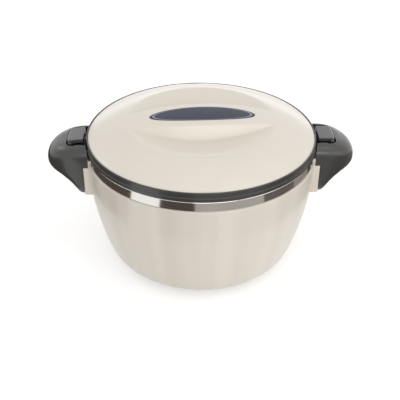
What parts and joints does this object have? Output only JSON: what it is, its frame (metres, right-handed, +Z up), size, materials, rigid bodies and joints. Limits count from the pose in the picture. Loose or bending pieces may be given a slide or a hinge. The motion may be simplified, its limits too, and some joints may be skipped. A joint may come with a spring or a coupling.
{
  "type": "insulated casserole",
  "caption": "Round foam-insulated serving casserole with a steel inner bowl, lift-off domed lid with a bridge grip, and two ear handles with flip latches.",
  "frame": {"origin": "middle of the foot ring's lower face, where the pot stands", "axes": "+Z up, +X along the line of the two handles, -Y towards the front in the picture"},
  "size_m": [0.312, 0.2326, 0.1596],
  "materials": {
    "cream_shell": "pearl satin",
    "cream_base": "satin",
    "cream_bracket": "satin",
    "cream_lid": "satin gloss",
    "foam": "matte",
    "polished_steel": "polished",
    "charcoal_handle": "satin gloss",
    "charcoal_latch": "satin gloss",
    "charcoal_ring": "satin gloss",
    "screw_steel": "zinc plated",
    "gasket": "matte",
    "navy_badge": "clear coated"
  },
  "bodies": {
    "body": {"outer_shell": "cream_shell", "base_cap": "cream_base", "filling_plug": "cream_base", "body_foam": "foam", "inner_bowl": "polished_steel", "right_bracket": "cream_bracket", "left_bracket": "cream_bracket", "right_handle": "charcoal_handle", "left_handle": "charcoal_handle", "right_handle_screws": "screw_steel", "left_handle_screws": "screw_steel", "right_latch_pin": "screw_steel", "left_latch_pin": "screw_steel"},
    "lid": {"lid_cover": "cream_lid", "lid_ring": "charcoal_ring", "lid_foam": "foam", "lid_liner": "polished_steel", "lid_gasket": "gasket", "lid_badge": "navy_badge"},
    "right_latch": {"right_latch": "charcoal_latch"},
    "left_latch": {"left_latch": "charcoal_latch"}
  },
  "joints": [
    {"name": "lid_lift", "type": "slide", "parent": "body", "child": "lid", "axis": [0, 0, 1], "range_m": [0, 0.15]},
    {"name": "right_latch_hinge", "type": "hinge", "parent": "body", "child": "right_latch", "pos_m": [0.131, 0, 0.1338], "axis": [0, 1, 0], "range_deg": [0, 80]},
    {"name": "left_latch_hinge", "type": "hinge", "parent": "body", "child": "left_latch", "pos_m": [-0.131, 0, 0.1338], "axis": [0, -1, 0], "range_deg": [-6, 74]}
  ]
}
